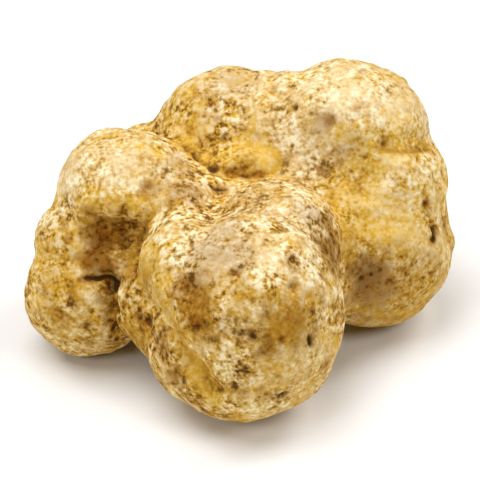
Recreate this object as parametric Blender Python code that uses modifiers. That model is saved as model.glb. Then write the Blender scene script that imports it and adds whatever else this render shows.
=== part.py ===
"""White truffle, one lobed fruiting body, modelled in metres with +Z up.

The body is grown the way the real one is: knobs swell out of a common core, press
against each other and leave clefts between them.  Each knob is an ellipsoid; a voxel
remesh fuses them and smoothing rounds the clefts.  Noise makes the surface uneven, and
the hollows, grooves, cracks and larger pits of the rind are pressed in along short paths
that are laid on the surface.  The body lies on the flattened undersides of its lowest
knobs.  The origin is at the middle of its footprint box, on the surface that it rests
on; +X is to the right and +Y to the back of its broad side.
"""

import math

import bmesh
import bpy
from mathutils import Euler, Matrix, Vector, noise
from mathutils.bvhtree import BVHTree
from mathutils.kdtree import KDTree

MM = 0.001

# Driving dimensions, in millimetres as the tables below are.
VOXEL = 0.6                  # grid of the remesh that fuses the knobs
CLEFT_ROUNDING = 18          # smoothing passes that round the clefts
FOOT_DEPTH = 0.45            # how much of the lowest knobs is flattened by the ground
TRIANGLES = 10800            # what the finished body is reduced to
PATH_STEP = 0.3              # spacing of the points along a dent's path
PATH_WANDER = 1.2            # how far a path strays from the straight way
WANDER_GRAIN = 3.0           # how soon it strays back
PATH_FADE = 2.0              # length over which a crack deepens from each of its ends
RAGGEDNESS = 0.8             # how unevenly deep a crack is, as a share
SEED = 4                     # picks the way that the paths stray

# The knobs: name, centre and half-axes, and turns about X, Y, Z in degrees.
KNOBS = (
    ("core", (0.7, 4.4, 12.2), (18.5, 14.5, 12.0), (0, 0, 0)),
    ("front", (1.2, -13.6, 13.4), (12.4, 12.6, 13.2), (0, 0, 0)),
    ("front_low", (0.5, -13.2, 8.7), (12.2, 12.4, 9.75), (0, 0, 0)),
    ("front_left", (-6.9, -10.0, 18.0), (6.8, 7.4, 7.2), (0, 0, 0)),
    ("front_shoulder", (3.8, -5.2, 17.8), (9.4, 10.0, 8.4), (0, 0, -10)),
    ("front_root", (8.0, -1.5, 11.0), (7.5, 9.0, 7.5), (0, 0, 0)),
    ("left_low", (-20.3, -1.6, 8.0), (8.4, 8.6, 8.8), (0, 0, 0)),
    ("left_high", (-15.1, 4.1, 18.9), (9.6, 10.0, 9.9), (0, 0, 0)),
    ("left_neck", (-19.8, 0.4, 15.8), (7.7, 6.0, 5.4), (0, 0, 0)),
    ("left_ledge", (-15.4, -0.6, 15.4), (7.6, 6.9, 5.4), (0, 0, 0)),
    ("left_bridge", (-9.0, -0.6, 18.2), (8.0, 8.4, 7.2), (0, -12, 0)),
    ("left_inner", (-8.3, 5.9, 16.4), (9.0, 8.0, 8.0), (0, 0, 0)),
    ("left_rib", (-11.3, -8.3, 9.8), (4.6, 5.6, 7.2), (0, -25, 0)),
    ("left_back", (-15.0, 9.5, 12.4), (9.0, 9.0, 10.5), (0, 0, 15)),
    ("right_low", (16.9, 6.6, 10.5), (11.4, 11.6, 11.4), (0, 0, 0)),
    ("right_cheek", (16.2, 10.1, 16.6), (11.2, 11.2, 11.0), (0, 0, 0)),
    ("right_high", (13.6, 13.3, 22.4), (11.6, 11.0, 11.0), (0, 0, 0)),
    ("right_back", (11.4, 15.4, 12.0), (9.4, 9.2, 10.2), (0, 0, 0)),
    ("back_ridge", (6.0, 14.6, 23.0), (8.6, 8.4, 8.8), (0, 0, 0)),
    ("back_left", (-1.7, 15.9, 20.9), (10.4, 9.4, 9.4), (0, 0, 0)),
    ("middle_bud", (0.8, 6.6, 22.8), (4.8, 4.0, 3.2), (0, 0, 0)),
    ("back_middle", (0.6, 17.2, 13.4), (9.6, 7.6, 8.4), (0, 20, 0)),
    ("back_foot", (-7.4, 12.9, 9.15), (12.0, 11.6, 10.0), (0, 0, 0)),
    ("back_bud", (-11.6, 15.2, 16.4), (6.8, 6.6, 6.4), (0, 0, 0)),
)

# Swellings of the surface: grain, height of the smooth swell, height of the knobbly one.
SWELLINGS = (
    (11.0, 0.8, 0.5),
    (5.4, 0.35, 0.55),
    (2.6, 0.12, 0.2),
)

# Hollows, grooves, cracks and pits: name, half-width, depth and the points of the path.
DENTS = (
    # The side that lies to the front.
    ("middle_hollow", 3.0, 0.5, ((-3.4, 6.8, 25.2), (-0.6, 6.2, 24.8), (2.4, 6.0, 24.8))),
    ("middle_crack", 1.0, 0.9, ((-5.0, 2.2, 24.4), (-1.2, 3.2, 24.2), (2.2, 5.0, 24.4))),
    ("left_hollow", 4.0, 2.3, ((-18.2, -4.8, 20.0), (-14.6, -5.4, 19.2))),
    ("left_hollow_crack", 0.8, 0.9, ((-21.0, -7.0, 14.8), (-18.1, -7.4, 14.2), (-15.6, -7.8, 13.8))),
    ("left_hollow_pit", 1.1, 0.7, ((-16.3, -7.0, 13.4),)),
    ("left_rib_cleft", 0.9, 1.4, ((-16.3, -7.6, 14.4), (-16.4, -8.8, 11.0), (-16.4, -7.9, 5.4))),
    ("rib_groove", 1.9, 1.1, ((-12.2, -11.6, 14.8), (-10.3, -15.9, 15.4), (-7.4, -20.8, 14.4),
                              (-4.7, -23.1, 11.6), (-3.2, -24.4, 8.6))),
    ("front_edge_crack", 1.1, 1.0, ((-10.4, -4.6, 23.0), (-13.2, -5.4, 20.0), (-14.0, -6.6, 16.6),
                                    (-13.0, -9.0, 14.2))),
    ("bridge_groove", 1.6, 0.8, ((-8.4, 9.5, 25.9), (-6.4, 7.9, 25.3), (-4.8, 6.0, 24.6))),
    ("cheek_crease", 2.2, 0.5, ((18.0, 5.3, 27.6), (21.2, 6.2, 26.7), (24.8, 9.8, 24.6),
                                (26.0, 13.0, 23.6))),
    ("cheek_valley", 4.4, 1.0, ((11.4, 4.4, 27.4), (14.0, 3.4, 25.4), (16.4, 2.4, 23.6))),
    ("front_crack", 1.3, 0.4, ((-1.9, -24.3, 18.8), (1.9, -25.1, 18.9), (5.6, -24.5, 18.3))),
    ("front_stain_dent", 3.2, 0.6, ((-5.8, -20.4, 22.0), (-5.6, -22.0, 19.6))),
    ("front_brow", 1.0, 0.6, ((-9.0, -8.4, 22.9), (-6.0, -8.2, 23.8), (-3.2, -7.4, 24.6))),
    ("ridge_dent", 2.0, 0.7, ((9.6, 6.8, 30.0), (11.2, 6.4, 30.0))),
    ("right_shade_dent", 4.2, 0.8, ((17.4, -4.2, 13.0),)),
    ("chin_pit", 1.4, 0.5, ((-0.8, -25.0, 10.4),)),
    ("cheek_pit", 1.0, 0.7, ((24.2, 2.9, 20.2),)),
    ("jaw_flat", 5.0, 1.0, ((28.4, 4.2, 14.2),)),
    ("jaw_pit", 1.1, 0.8, ((25.5, 1.4, 17.0), (25.7, 1.3, 16.0))),
    ("left_pit", 1.0, 0.6, ((-12.6, -2.0, 26.1), (-11.6, -2.2, 26.1))),
    # The back and the ends.
    ("back_cleft", 1.5, 1.3, ((4.6, 22.0, 24.0), (5.6, 23.6, 18.0), (5.0, 23.8, 11.0), (3.0, 21.6, 5.0))),
    ("back_left_cleft", 1.4, 1.2, ((-7.6, 20.6, 22.0), (-8.4, 21.8, 17.4), (-2.6, 23.6, 14.6))),
    ("back_hollow", 3.8, 1.4, ((13.0, 22.8, 17.6), (15.4, 22.0, 14.2))),
    ("back_crack", 1.3, 0.6, ((-16.4, 19.2, 10.6), (-11.4, 22.6, 9.4), (-6.0, 23.6, 7.4))),
    ("bud_cleft", 1.2, 1.1, ((-17.6, 13.2, 20.4), (-13.6, 14.4, 22.4), (-9.2, 14.2, 23.8))),
    ("right_crease", 1.8, 0.8, ((27.0, 12.0, 15.0), (25.6, 16.6, 16.4), (22.0, 20.4, 18.4))),
    ("right_hollow", 3.4, 1.2, ((27.4, 8.6, 9.6), (26.6, 11.4, 8.0))),
    ("right_crack", 1.4, 0.5, ((21.8, 17.2, 25.6), (17.8, 21.4, 25.2), (13.4, 23.2, 23.4))),
    ("left_crease", 2.0, 0.9, ((-25.0, 4.4, 15.6), (-24.4, 8.4, 13.4), (-22.4, 11.6, 9.6))),
    ("left_end_hollow", 2.8, 1.0, ((-27.6, 0.6, 10.4), (-27.2, 2.2, 8.0))),
    ("crown_groove", 1.3, 0.6, ((4.6, 9.8, 31.0), (4.4, 14.2, 31.6), (4.6, 19.0, 29.6))),
    ("crown_pit", 1.1, 0.7, ((-3.8, 10.7, 29.6), (-3.2, 11.2, 29.8))),
    # The underside, between the feet.
    ("belly_hollow", 7.0, 2.2, ((-4.0, 0.0, 2.0), (5.0, 0.0, 2.0))),
)


def clear_scene():
    for item in list(bpy.data.objects):
        bpy.data.objects.remove(item, do_unlink=True)


def knob(mesh, centre, half_axes, turns):
    """Adds one ellipsoid to the bmesh."""
    turn = Euler([math.radians(a) for a in turns]).to_matrix().to_4x4()
    place = Matrix.Translation(Vector(centre) * MM)
    stretch = Matrix.Diagonal((*(a * MM for a in half_axes), 1.0))
    bmesh.ops.create_icosphere(mesh, subdivisions=5, radius=1.0, matrix=place @ turn @ stretch)


def fused_knobs(collection):
    """One object with all the knobs, made one skin by its modifiers."""
    mesh = bmesh.new()
    for _, centre, half_axes, turns in KNOBS:
        knob(mesh, centre, half_axes, turns)
    data = bpy.data.meshes.new("truffle")
    mesh.to_mesh(data)
    mesh.free()
    body = bpy.data.objects.new("truffle", data)
    collection.objects.link(body)
    fuse = body.modifiers.new("fuse", "REMESH")
    fuse.mode = "VOXEL"
    fuse.voxel_size = VOXEL * MM
    soften = body.modifiers.new("soften", "SMOOTH")
    soften.factor = 0.5
    soften.iterations = CLEFT_ROUNDING
    return body


def apply_modifiers(body):
    """Replaces the object's mesh by what its modifiers make of it."""
    graph = bpy.context.evaluated_depsgraph_get()
    made = bpy.data.meshes.new_from_object(body.evaluated_get(graph))
    old = body.data
    body.modifiers.clear()
    body.data = made
    bpy.data.meshes.remove(old)
    made.name = "truffle"


def swell_height(place):
    """Height of the uneven surface above the knobs at a place, in millimetres."""
    height = 0.0
    for number, (grain, smooth, knobbly) in enumerate(SWELLINGS):
        shift = Vector((17.0 * number, 5.0, 3.0))
        value = noise.noise(place / (grain * MM) + shift)
        crease = math.sqrt(noise.noise(place / (grain * MM) - shift) ** 2 + 0.004)
        height += smooth * value + knobbly * (crease - 0.2)
    return height


def swell(mesh):
    """Raises and sinks the surface along its normals."""
    moves = [v.normal * swell_height(v.co) * MM for v in mesh.verts]
    for v, move in zip(mesh.verts, moves):
        v.co += move
    mesh.normal_update()


def laid_path(tree, points):
    """Points along a dent's path, close together, wandering, and laid on the surface."""
    corners = [Vector(p) * MM for p in points]
    way = [corners[0]]
    for start, end in zip(corners, corners[1:]):
        steps = max(1, round((end - start).length / (PATH_STEP * MM)))
        way += [start.lerp(end, (n + 1) / steps) for n in range(steps)]
    if len(way) > 1:
        way = [p + noise.noise_vector(p / (WANDER_GRAIN * MM)) * PATH_WANDER * MM for p in way]
    return [tree.find_nearest(p)[0] for p in way]


def strengths(path, half_width):
    """How deep a dent is at each point of its path, as a share.

    A crack is ragged and runs out at its ends; a wide hollow is neither.
    """
    shares = []
    for number, place in enumerate(path):
        from_end = min(number, len(path) - 1 - number) * PATH_STEP
        fade = min(1.0, (from_end + half_width - 0.5) / PATH_FADE) if len(path) > 1 else 1.0
        ragged = RAGGEDNESS * noise.noise(place / (WANDER_GRAIN * MM)) / max(1.0, half_width)
        shares.append(fade * (1.0 + ragged))
    return shares


def press_dents(mesh):
    """Presses every hollow, groove, crack and pit into the surface."""
    tree = BVHTree.FromBMesh(mesh)
    depths = [0.0] * len(mesh.verts)
    for _, half_width, depth, points in DENTS:
        path = laid_path(tree, points)
        shares = strengths(path, half_width)
        near = KDTree(len(path))
        for number, place in enumerate(path):
            near.insert(place, number)
        near.balance()
        for v in mesh.verts:
            _, number, distance = near.find(v.co)
            reach = distance / (half_width * MM)
            if reach < 1.0:
                depths[v.index] += depth * shares[number] * (1.0 - reach ** 2) ** 2
    for v, depth in zip(mesh.verts, depths):
        v.co -= v.normal * depth * MM
    mesh.normal_update()


def shape_surface(body):
    mesh = bmesh.new()
    mesh.from_mesh(body.data)
    mesh.normal_update()
    mesh.verts.index_update()
    swell(mesh)
    press_dents(mesh)
    mesh.to_mesh(body.data)
    mesh.free()


def thin_out(body):
    """Keeps as many triangles as the forms need, more where they bend."""
    body.data.calc_loop_triangles()
    thin = body.modifiers.new("thin", "DECIMATE")
    thin.ratio = TRIANGLES / len(body.data.loop_triangles)
    apply_modifiers(body)


def stand_on_origin(body):
    """Flattens the feet and puts the origin under the middle of the body's box."""
    mesh = bmesh.new()
    mesh.from_mesh(body.data)
    low = min(v.co.z for v in mesh.verts) + FOOT_DEPTH * MM
    bmesh.ops.translate(mesh, verts=mesh.verts, vec=(0, 0, -low))
    cut = bmesh.ops.bisect_plane(
        mesh,
        geom=mesh.verts[:] + mesh.edges[:] + mesh.faces[:],
        plane_co=(0, 0, 0),
        plane_no=(0, 0, -1),
        clear_outer=True,
    )
    rim = [e for e in cut["geom_cut"] if isinstance(e, bmesh.types.BMEdge)]
    bmesh.ops.holes_fill(mesh, edges=rim, sides=0)
    bmesh.ops.triangulate(mesh, faces=mesh.faces)
    bmesh.ops.recalc_face_normals(mesh, faces=mesh.faces)
    xs = [v.co.x for v in mesh.verts]
    ys = [v.co.y for v in mesh.verts]
    middle = Vector(((min(xs) + max(xs)) / 2, (min(ys) + max(ys)) / 2, 0))
    bmesh.ops.translate(mesh, verts=mesh.verts, vec=-middle)
    mesh.to_mesh(body.data)
    mesh.free()


def rind_material():
    material = bpy.data.materials.new("rind")
    material.use_nodes = True
    shader = material.node_tree.nodes["Principled BSDF"]
    shader.inputs["Base Color"].default_value = (0.52, 0.36, 0.14, 1.0)
    shader.inputs["Roughness"].default_value = 0.62
    shader.inputs["Metallic"].default_value = 0.0
    return material


def main():
    clear_scene()
    noise.seed_set(SEED)
    collection = bpy.data.collections.new("white_truffle")
    bpy.context.scene.collection.children.link(collection)
    body = fused_knobs(collection)
    apply_modifiers(body)
    shape_surface(body)
    thin_out(body)
    stand_on_origin(body)
    body.data.materials.append(rind_material())
    body.data.shade_smooth()


main()
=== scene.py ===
"""White truffle: the rind that covers its solid, and a pale studio to see it in.

The solid gives the lobes and the clefts between them. The rind is a finer skin over the
same forms: it gets the knobbles, pits and cracks as real relief, and its hollows,
stains and pale or golden patches as values on the surface, which the finish then reads.
Some of these values are painted shade and light: darker hollows and dips, lighter crests,
shadow lines along some cracks and bands, and a darker, warmer tint towards the bottom.
Lengths in the tables and in the skin's arrays are in millimetres, in the solid's frame.
Those of the studio are in metres.
"""

import math
from types import SimpleNamespace

import bmesh
import bpy
import numpy as np
from bpy.props import FloatProperty, FloatVectorProperty, IntProperty, PointerProperty
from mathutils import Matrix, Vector, noise
from mathutils.bvhtree import BVHTree


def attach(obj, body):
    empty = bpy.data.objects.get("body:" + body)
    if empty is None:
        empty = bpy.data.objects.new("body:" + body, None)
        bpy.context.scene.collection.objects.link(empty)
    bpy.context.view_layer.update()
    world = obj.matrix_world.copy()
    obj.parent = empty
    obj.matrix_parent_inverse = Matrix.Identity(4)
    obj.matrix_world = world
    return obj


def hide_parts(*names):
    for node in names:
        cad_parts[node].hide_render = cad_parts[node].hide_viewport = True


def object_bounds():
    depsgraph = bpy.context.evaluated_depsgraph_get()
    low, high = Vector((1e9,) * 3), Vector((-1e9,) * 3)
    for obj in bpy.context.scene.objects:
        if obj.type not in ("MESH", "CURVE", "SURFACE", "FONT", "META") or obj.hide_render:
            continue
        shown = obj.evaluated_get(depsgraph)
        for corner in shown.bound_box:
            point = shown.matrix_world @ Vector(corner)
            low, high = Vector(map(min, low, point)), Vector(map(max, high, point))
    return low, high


bl_info = {
    "name": "White Truffle",
    "version": (1, 0, 0),
    "blender": (4, 5, 0),
    "location": "3D View > Sidebar > Truffle",
    "description": "Covers the truffle's solid with its rind, and sets a pale studio round it",
    "category": "Add Mesh",
}

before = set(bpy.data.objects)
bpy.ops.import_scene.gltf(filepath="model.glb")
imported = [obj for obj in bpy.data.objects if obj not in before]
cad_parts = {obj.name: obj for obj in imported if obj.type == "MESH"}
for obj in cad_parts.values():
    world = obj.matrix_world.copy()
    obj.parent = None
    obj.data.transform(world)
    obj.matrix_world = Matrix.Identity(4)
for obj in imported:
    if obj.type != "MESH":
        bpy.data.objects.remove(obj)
SOLID_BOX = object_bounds()
NODE = "truffle"
BODY = "root"
MM = 0.001

# How the skin is worked, in millimetres where no other measure is named.
TOUCHING = 0.001             # distance within which two of the solid's points are one
PATH_STEP = 0.25             # spacing of the points along a crack or a band
PATH_WANDER = 0.35           # how far such a path strays from the straight way
WANDER_GRAIN = 1.6           # how soon it strays back
SEED = 4                     # picks the way that it strays
CRACK_FADE = 4.0             # points of the path over which a crack deepens from each end
CRACK_RAGGEDNESS = 0.6       # how unevenly deep a crack is, as a share
CRACK_GRAIN = 1.1            # length of its deeper stretches
PATCH_FEATHER = 1.5          # how far out a patch fades, in its own radii
PATCH_RAGGEDNESS = 0.55      # how uneven a patch's outline is, as a share
PATCH_GRAIN = 1.7            # length of the waves in its outline
PIT_DARKNESS = 0.4           # how dark a scattered pit is, as a share
LOW_SHADE_FROM = 26.0              # height below which the rind gets painted shade, darker and warmer towards the bottom
LOW_SHADE_FULL = 8.0               # height below which that painted shade is full
# Dips and hollows are measured for the painted shade that darkens them; crests get painted light.
DIP_PASSES = 6               # smoothing passes of the surroundings that a dip is measured from
DIP_GAIN = 5.0               # how much one millimetre of a dip counts
HOLLOW_PASSES = 160          # the same for a hollow
HOLLOW_GAIN = 0.9

# ---------------------------------------------------------------------------
# Where things are on the rind.
#
# Many of these places were read off the solid's surface, by rays cast onto it from the
# camera's side, and some of those were then shifted. The others were given one by one.

# Paths that more than one table uses.
LEDGE = ((-20.6, -7.3, 15.2), (-19.0, -6.9, 14.7), (-17.5, -6.5, 14.5), (-16.1, -6.0, 13.8))
HOLLOW_SIDE = ((-12.6, -4.2, 21.4), (-12.9, -3.7, 19.7), (-14.1, -5.3, 16.8), (-14.4, -7.0, 16.3))
GROOVE_TOP = (
    (-11.0, -16.1, 19.4), (-10.2, -17.8, 19.1), (-9.1, -20.1, 18.1),
    (-8.0, -21.7, 16.9), (-7.2, -21.1, 13.7), (-6.0, -21.9, 12.5),
)
CREASE = ((18.5, 5.2, 27.4), (21.2, 5.7, 26.7), (22.9, 6.9, 26.1), (25.0, 9.7, 24.4))

# Cracks and grooves, one by one: name, half-width, depth, how dark, and the path's points.
# How dark is partly the dark inside of pits and cracks, partly painted shadow lines:
# under the ledge, under the bud and beside the ridge behind the middle.
CRACKS = (
    ("middle", 0.5, 0.2, 0.8, ((-4.6, 0.4, 24.4), (-3.4, -0.5, 24.5), (-1.6, -0.2, 24.3))),
    # Painted shadow lines under the bud and beside the ridge, over shallow grooves.
    ("bud_shadow_crack", 0.7, 0.25, 0.55, ((-0.6, 3.4, 24.9), (0.9, 2.7, 24.6), (2.4, 3.6, 24.6))),
    ("ridge_shadow_crack", 0.8, 0.25, 0.25, ((-7.4, 8.0, 24.6), (-5.6, 6.0, 23.8), (-4.2, 4.0, 24.4))),
    # A painted shadow along the ledge under the hollow on the left.
    ("left_ledge", 0.5, 0.35, 1.2, LEDGE),
    (
        "left_rib", 0.5, 0.2, 0.1,
        ((-16.5, -6.4, 13.4), (-16.5, -8.2, 10.4), (-16.3, -8.6, 8.8), (-16.3, -8.1, 5.6)),
    ),
    (
        "groove", 1.3, 0.3, 0.0,
        (
            (-11.6, -13.7, 15.9), (-10.1, -18.9, 17.8), (-8.5, -21.2, 17.3), (-7.2, -22.5, 16.0),
            (-5.9, -23.4, 14.5), (-4.7, -23.4, 11.6), (-3.8, -23.8, 9.5),
        ),
    ),
    ("left_edge", 0.6, 0.25, 0.2, ((-13.0, -4.2, 20.0), (-13.4, -5.2, 17.0), (-13.0, -7.6, 15.2))),
    ("front", 0.7, 0.22, 0.5, ((-1.6, -24.3, 19.2), (1.9, -25.3, 18.7), (4.2, -25.2, 18.8))),
    ("cheek", 1.0, 0.12, 0.2, CREASE),
    ("jaw", 0.5, 0.5, 1.0, ((25.3, 1.9, 17.2), (25.5, 1.2, 16.2), (25.6, 0.6, 15.4))),
    ("chin", 0.5, 0.35, 0.8, ((4.6, -24.2, 8.2), (5.5, -24.2, 8.9), (6.2, -23.8, 9.2))),
    ("lip", 0.4, 0.3, 0.8, ((-0.4, -25.6, 13.4), (0.6, -25.7, 13.6), (1.8, -25.6, 13.3))),
    ("temple", 0.45, 0.45, 1.0, ((9.0, -22.5, 17.0), (9.0, -22.7, 16.2), (8.9, -23.0, 15.4))),
)

# Stained spots, one by one: place, radius and strength. Some of them also carry painted shade, as said
# below.
STAINS = (
    # On the low lobe at the left, and beside it.
    ((-24.6, -5.6, 14.6), 2.2, 0.35),
    ((-24.2, -8.2, 10.4), 1.6, 0.45),
    ((-22.0, -8.7, 12.4), 1.0, 0.8),
    ((-25.8, -6.7, 12.8), 1.4, 0.5),
    ((-20.1, -9.5, 9.4), 0.8, 0.8),
    ((-18.4, -8.8, 12.8), 0.7, 0.9),
    ((-20.2, -9.4, 6.2), 1.2, 0.4),
    ((-23.5, -8.7, 10.0), 0.9, 0.7),
    ((-22.2, -8.7, 13.4), 0.9, 0.7),
    ((-17.6, -7.4, 13.4), 1.0, 0.9),
    ((-16.4, -8.2, 11.4), 1.4, 0.9),
    ((-16.2, -8.2, 8.4), 1.3, 0.8),
    ((-16.2, -8.0, 5.6), 1.3, 0.8),
    # In the hollow on the left, and round it: brown staining, deepened inside the hollow with painted
    # shade.
    ((-22.6, -3.4, 19.2), 1.8, 0.2),
    ((-14.0, -8.0, 16.0), 2.4, 0.7),
    ((-23.5, -5.0, 16.0), 4.0, 0.3),
    ((-18.5, -3.8, 18.2), 2.2, 0.9),
    ((-16.3, -3.2, 19.4), 2.2, 1.1),
    ((-18.6, -5.6, 17.6), 2.2, 1.3),
    ((-19.8, -6.1, 16.9), 1.6, 1.1),
    ((-16.4, -5.8, 17.5), 1.4, 0.5),
    ((-17.6, -6.7, 16.2), 1.6, 1.2),
    ((-15.4, -4.1, 18.6), 1.4, 0.5),
    ((-16.8, -2.7, 20.3), 2.0, 0.5),
    ((-17.9, -3.0, 19.1), 3.0, 1.0),
    ((-15.8, -3.4, 19.4), 1.4, 0.6),
    ((-19.2, -4.1, 18.3), 2.0, 0.8),
    ((-20.2, -2.6, 21.2), 1.4, 0.6),
    ((-19.8, -3.2, 22.6), 1.3, 0.8),
    ((-17.0, -3.9, 24.2), 1.2, 0.7),
    ((-15.3, -4.2, 23.6), 1.1, 0.7),
    ((-12.7, -4.3, 22.3), 0.9, 0.5),
    ((-18.7, -3.0, 21.6), 1.0, 0.8),
    ((-13.8, -3.3, 21.0), 1.0, 0.7),
    ((-22.7, -4.0, 19.0), 0.9, 0.8),
    ((-23.1, -2.2, 20.1), 0.8, 0.8),
    # On the upper left lobe.
    ((-22.9, 0.6, 22.7), 0.7, 0.6),
    ((-12.2, -2.3, 26.1), 1.2, 0.8),
    # On the rib, and along the groove.
    ((-13.0, -13.0, 9.0), 5.0, 0.45),
    ((-12.2, -13.6, 19.2), 2.2, 0.7),
    ((-10.4, -18.2, 12.2), 2.6, 0.75),
    ((-8.6, -21.0, 9.6), 2.4, 0.75),
    ((-14.6, -10.2, 13.6), 1.4, 0.6),
    ((-13.2, -12.6, 12.6), 1.5, 0.9),
    ((-12.1, -13.2, 12.5), 1.3, 0.9),
    ((-11.2, -15.2, 12.9), 0.9, 0.7),
    # On the front lobe.
    ((-6.2, -20.0, 21.2), 3.4, 0.85),
    ((-4.6, -21.8, 20.2), 3.2, 0.75),
    ((6.4, -23.2, 20.4), 3.3, 0.8),
    ((2.2, -6.6, 26.0), 3.0, 0.35),
    ((-3.7, -20.3, 23.0), 2.4, 0.3),
    ((-11.2, -13.8, 21.8), 1.4, 0.4),
    ((0.0, -21.6, 23.0), 2.6, 0.4),
    ((3.2, -25.2, 18.2), 2.4, 0.5),
    ((-6.8, -23.0, 6.6), 2.2, 0.4),
    ((10.5, -12.2, 21.7), 2.4, 0.9),
    ((12.0, -8.5, 20.5), 2.6, 0.8),
    ((12.6, -9.0, 19.0), 5.0, 0.45),
    ((13.0, -13.0, 12.0), 3.0, 0.5),
    ((-2.5, -15.0, 25.6), 4.0, 0.25),
    ((-0.2, -9.5, 25.9), 2.4, 0.3),
    ((-1.5, -11.5, 26.0), 3.0, 0.25),
    ((-7.1, -18.8, 22.2), 2.2, 1.0),
    ((-5.8, -20.0, 21.5), 2.2, 0.9),
    ((-6.6, -20.7, 20.5), 2.0, 0.8),
    ((-5.8, -22.1, 18.9), 1.8, 1.1),
    ((3.9, -23.8, 21.6), 2.2, 0.5),
    ((6.2, -23.3, 21.4), 2.2, 0.5),
    ((7.5, -23.4, 19.4), 1.8, 0.6),
    ((3.5, -25.5, 17.4), 1.8, 0.9),
    ((1.6, -25.2, 18.9), 0.9, 1.1),
    ((5.0, -24.8, 18.2), 0.9, 1.1),
    ((-0.2, -24.9, 18.8), 1.1, 0.6),
    ((9.0, -22.6, 16.2), 0.8, 1.0),
    ((5.3, -12.5, 26.7), 0.9, 0.9),
    ((3.4, -8.5, 26.2), 0.7, 0.7),
    ((1.1, -8.8, 26.5), 0.7, 0.7),
    ((-0.8, -19.4, 24.6), 0.9, 0.9),
    ((6.6, -17.7, 25.5), 1.2, 0.8),
    ((6.6, -20.7, 23.4), 1.2, 0.7),
    ((10.9, -20.4, 10.8), 1.1, 0.7),
    ((12.7, -15.8, 16.2), 1.8, 0.5),
    ((0.6, -25.7, 13.6), 1.0, 0.6),
    ((-0.7, -25.2, 10.4), 1.5, 0.45),
    ((5.5, -24.2, 8.9), 1.0, 0.8),
    ((-4.6, -22.7, 5.0), 0.7, 0.9),
    ((-5.3, -23.6, 7.3), 0.9, 0.6),
    ((11.5, -6.3, 23.0), 1.8, 0.8),
    ((12.3, -6.5, 20.7), 2.2, 0.8),
    ((12.9, -6.9, 18.6), 1.8, 0.8),
    ((11.0, -10.0, 21.6), 1.6, 0.7),
    ((12.0, -13.1, 20.7), 1.6, 0.6),
    # In the middle, and on the crown.
    ((-6.8, -2.6, 25.2), 2.6, 0.7),
    ((-7.4, 2.6, 26.0), 2.4, 0.5),
    ((0.8, 5.0, 25.4), 2.0, 0.3),
    ((-4.4, 10.4, 29.0), 2.2, 0.4),
    ((-5.0, -1.5, 24.6), 1.8, 0.4),
    ((1.1, -5.0, 25.9), 5.0, 0.35),
    ((-2.4, -0.4, 24.4), 1.2, 0.7),
    ((-3.5, 3.9, 24.9), 0.9, 0.9),
    ((0.9, 2.7, 24.6), 1.4, 0.8),
    ((-2.2, 7.9, 27.3), 1.2, 0.45),
    ((-5.9, 13.4, 30.5), 0.8, 0.8),
    ((-4.1, 12.5, 30.4), 0.9, 0.7),
    ((-3.8, 12.3, 29.6), 0.8, 1.0),
    ((-3.2, 10.2, 28.7), 0.9, 0.9),
    ((-1.1, 11.0, 29.8), 0.8, 0.7),
    ((-0.2, 8.8, 28.1), 0.8, 0.7),
    ((7.2, 9.5, 30.8), 0.7, 0.9),
    ((11.6, 6.8, 30.3), 1.1, 0.9),
    ((10.4, 7.1, 30.0), 1.8, 0.4),
    ((10.6, 17.8, 32.1), 0.7, 0.6),
    ((10.8, 3.9, 24.4), 0.9, 0.9),
    # On the right.
    # Low on the right lobe, here and further down: brown staining with painted shade on its shaded lower
    # side.
    ((17.0, -4.2, 12.8), 4.4, 0.75),
    ((20.5, -3.4, 11.5), 6.0, 0.4),
    ((16.0, 14.2, 33.8), 1.0, 0.6),
    ((15.2, 7.6, 32.0), 0.7, 0.7),
    ((18.9, 6.0, 27.6), 1.0, 0.9),
    ((15.3, 5.1, 28.6), 1.6, 0.35),
    ((13.4, 5.0, 27.4), 1.4, 0.35),
    ((15.9, 3.1, 23.9), 1.6, 0.35),
    ((22.9, 6.9, 26.1), 1.4, 0.6),
    ((25.0, 9.7, 24.4), 1.3, 0.6),
    ((13.0, 4.4, 25.5), 0.7, 0.8),
    ((15.6, 2.2, 23.0), 1.0, 0.5),
    ((24.3, 3.0, 19.8), 0.9, 1.0),
    ((25.5, 1.9, 16.5), 1.1, 1.0),
    ((25.5, 0.6, 15.8), 0.9, 0.9),
    # Brown staining with painted shade on the right lobe's shaded lower side.
    ((14.5, -5.0, 14.6), 1.8, 0.9),
    ((16.2, -4.2, 12.7), 2.2, 0.9),
    ((17.7, -3.7, 13.2), 2.0, 0.8),
    ((19.9, -3.9, 12.2), 2.0, 0.7),
    ((21.5, -3.4, 13.0), 1.4, 0.5),
    # On the sides and the back.
    ((26.0, 13.5, 14.0), 3.4, 0.6),
    ((22.0, 18.6, 26.0), 2.6, 0.5),
    ((26.8, 6.0, 11.0), 2.2, 0.5),
    ((12.0, 24.0, 20.0), 3.2, 0.7),
    ((-1.0, 25.6, 19.0), 3.6, 0.8),
    ((-12.0, 21.8, 18.0), 2.6, 0.7),
    ((4.0, 24.4, 10.0), 3.0, 0.5),
    ((-9.0, 24.0, 9.0), 3.0, 0.6),
    ((-23.0, 9.0, 20.0), 3.2, 0.7),
    ((-22.4, 13.6, 13.0), 3.2, 0.6),
    ((-27.0, 1.0, 13.0), 2.6, 0.6),
    ((-17.0, 13.0, 24.0), 2.2, 0.6),
)

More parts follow.
